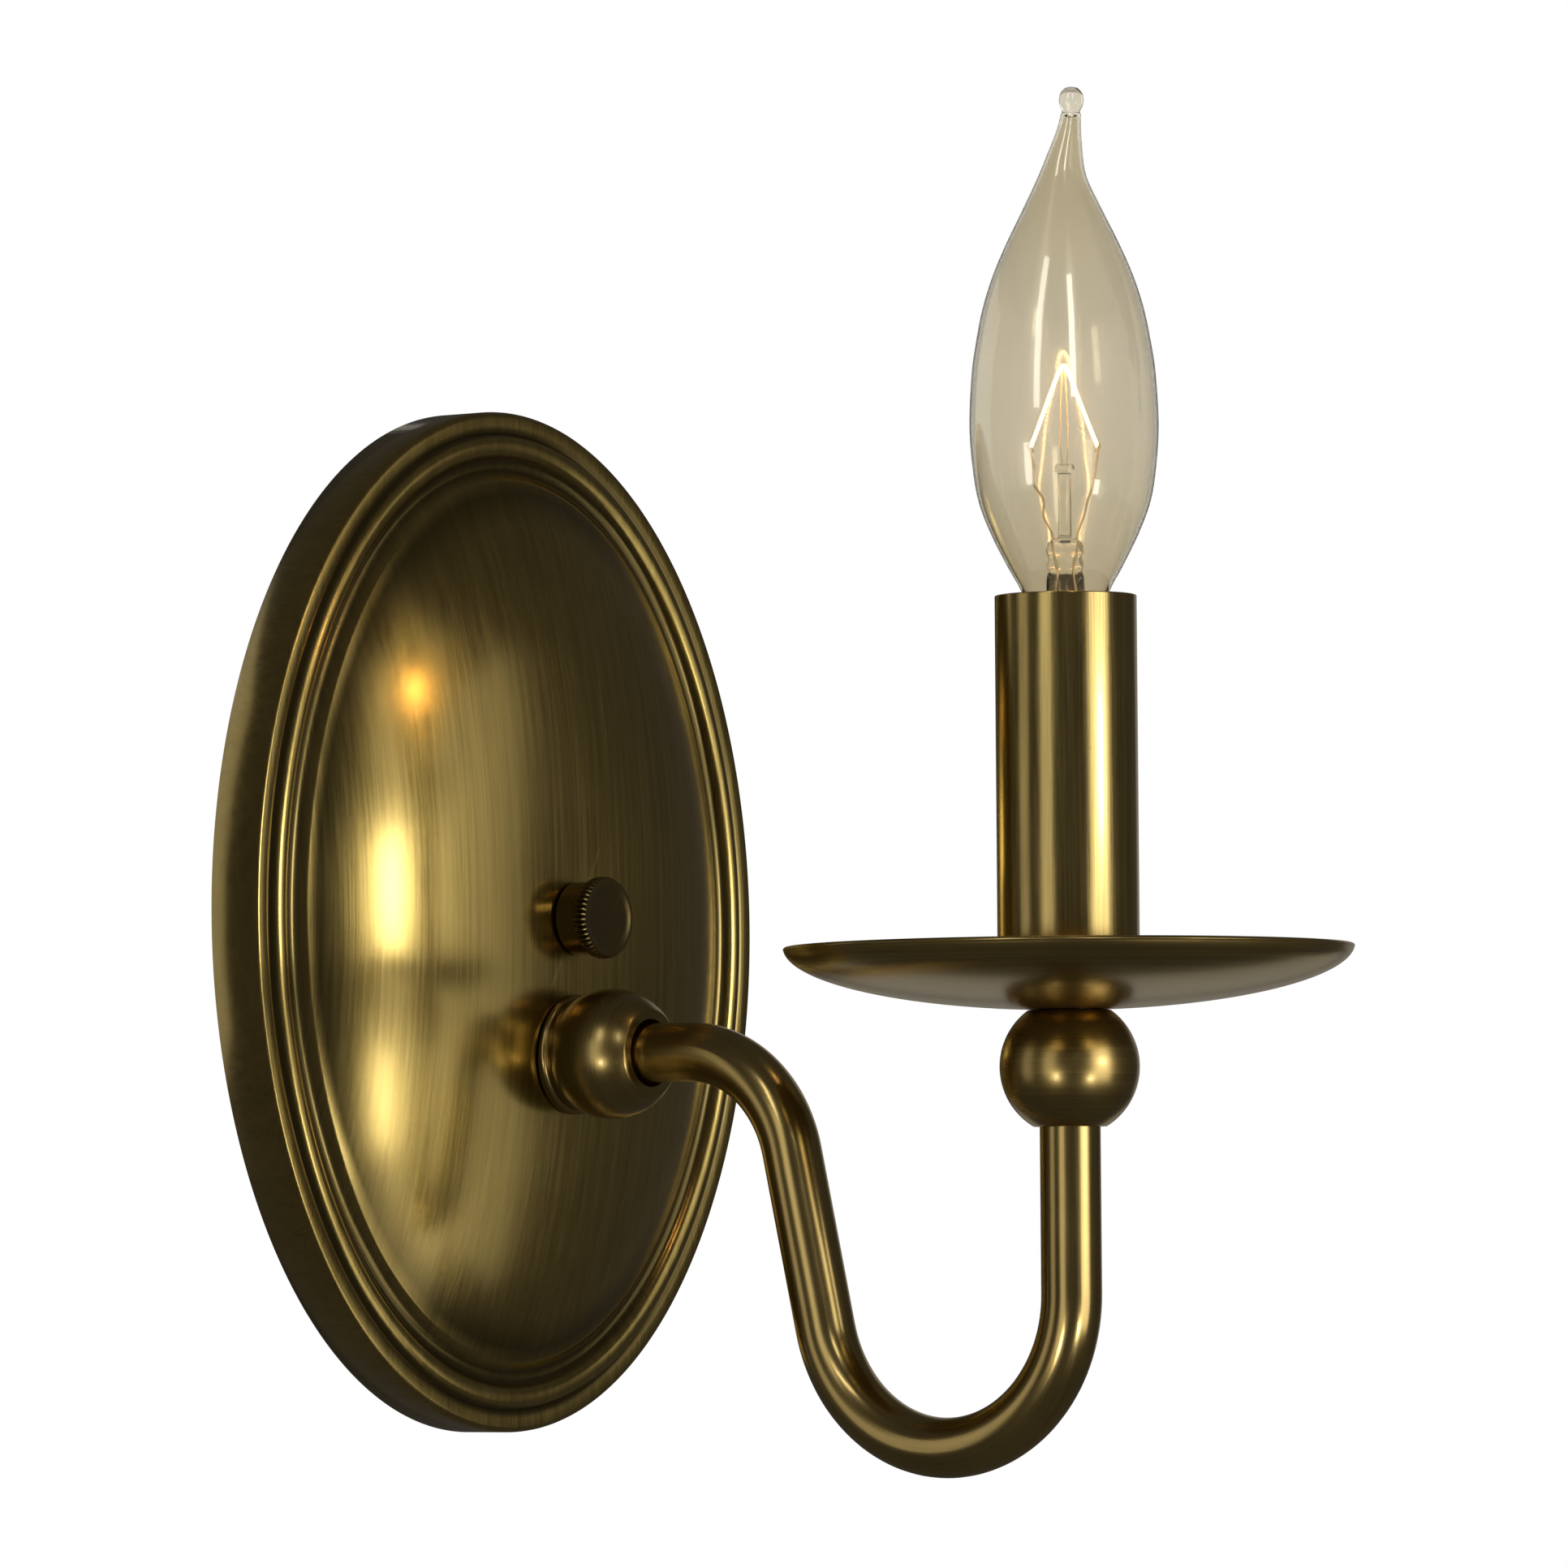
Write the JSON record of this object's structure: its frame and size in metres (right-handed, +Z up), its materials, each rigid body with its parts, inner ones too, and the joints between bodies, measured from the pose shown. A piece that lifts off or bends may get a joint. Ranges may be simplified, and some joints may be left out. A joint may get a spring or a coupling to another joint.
{
  "type": "wall sconce",
  "caption": "Electric wall sconce: an oval domed brass backplate, a gooseneck arm from a turned hub, and a candle sleeve with drip pan and flame-tip bulb.",
  "frame": {"origin": "centre of the oval backplate in the plane of the wall", "axes": "+Z up, +Y into the wall, so the fixture faces -Y; X runs across the plate and the arm lies in the plane x = 0"},
  "size_m": [0.14, 0.1758, 0.2331],
  "materials": {
    "antique_brass": "satin, vertically brushed antique brass under clear lacquer",
    "bright_brass": "plain drawn brass",
    "zinc_steel": "zinc plated",
    "green_steel": "green dyed zinc",
    "copper": "bare copper, a little dull",
    "phenolic": "moulded black phenolic",
    "pvc_black": "satin insulation",
    "pvc_white": "satin insulation",
    "nylon_orange": "moulded nylon",
    "nickel": "drawn nickel wire",
    "solder": "dull tin solder",
    "insulator_glass": "black glass",
    "clear_glass": "clear blown glass, faint warm tint",
    "tungsten": "glowing coil"
  },
  "bodies": {
    "fixture": {"mounting_strap": "zinc_steel", "strap_stud": "zinc_steel", "stud_nut": "zinc_steel", "ground_screw": "green_steel", "ground_wire": "copper", "backplate": "antique_brass", "hub": "antique_brass", "hub_nipple": "zinc_steel", "hub_washer": "zinc_steel", "hub_locknut": "zinc_steel", "arm_tube": "antique_brass", "arm_ball": "antique_brass", "candle_nipple": "zinc_steel", "drip_pan": "antique_brass", "pan_washer": "zinc_steel", "pan_locknut": "zinc_steel", "socket_bracket": "zinc_steel", "bracket_rivet": "bright_brass", "socket_body": "phenolic", "socket_shell": "bright_brass", "socket_contact": "bright_brass", "terminal_hot": "bright_brass", "terminal_neutral": "bright_brass", "wire_hot": "pvc_black", "wire_neutral": "pvc_white", "wire_nut_hot": "nylon_orange", "wire_nut_neutral": "nylon_orange"},
    "knob_washer": {"knob_washer": "zinc_steel"},
    "knob": {"knob": "antique_brass"},
    "sleeve": {"candle_sleeve": "antique_brass"},
    "bulb_contact": {"bulb_contact_tip": "solder"},
    "bulb": {"bulb_insulator": "insulator_glass", "bulb_base": "bright_brass", "bulb_glass": "clear_glass", "bulb_stem": "clear_glass", "filament": "tungsten", "lead_wire_left": "nickel", "lead_wire_right": "nickel", "filament_support": "nickel"}
  },
  "joints": [
    {"name": "knob_travel", "type": "slide", "parent": "fixture", "child": "knob_washer", "axis": [0, -1, 0], "range_m": [0, 0.0048]},
    {"name": "knob_turn", "type": "hinge", "parent": "knob_washer", "child": "knob", "pos_m": [0, -0.0277, 0], "axis": [0, -1, 0], "range_deg": [0, 2160]},
    {"name": "sleeve_lift", "type": "slide", "parent": "fixture", "child": "sleeve", "axis": [0, 0, 1], "range_m": [0, 0.006]},
    {"name": "bulb_travel", "type": "slide", "parent": "fixture", "child": "bulb_contact", "axis": [0, 0, 1], "range_m": [0, 0.0102]},
    {"name": "bulb_turn", "type": "hinge", "parent": "bulb_contact", "child": "bulb", "pos_m": [0, -0.128, 0.038], "axis": [0, 0, 1], "range_deg": [0, 1440]}
  ],
  "couplings": [
    {"joint": "knob_travel", "follows": "knob_turn", "m_per_rad": 0.00012633},
    {"joint": "bulb_travel", "follows": "bulb_turn", "m_per_rad": 0.00040425}
  ]
}
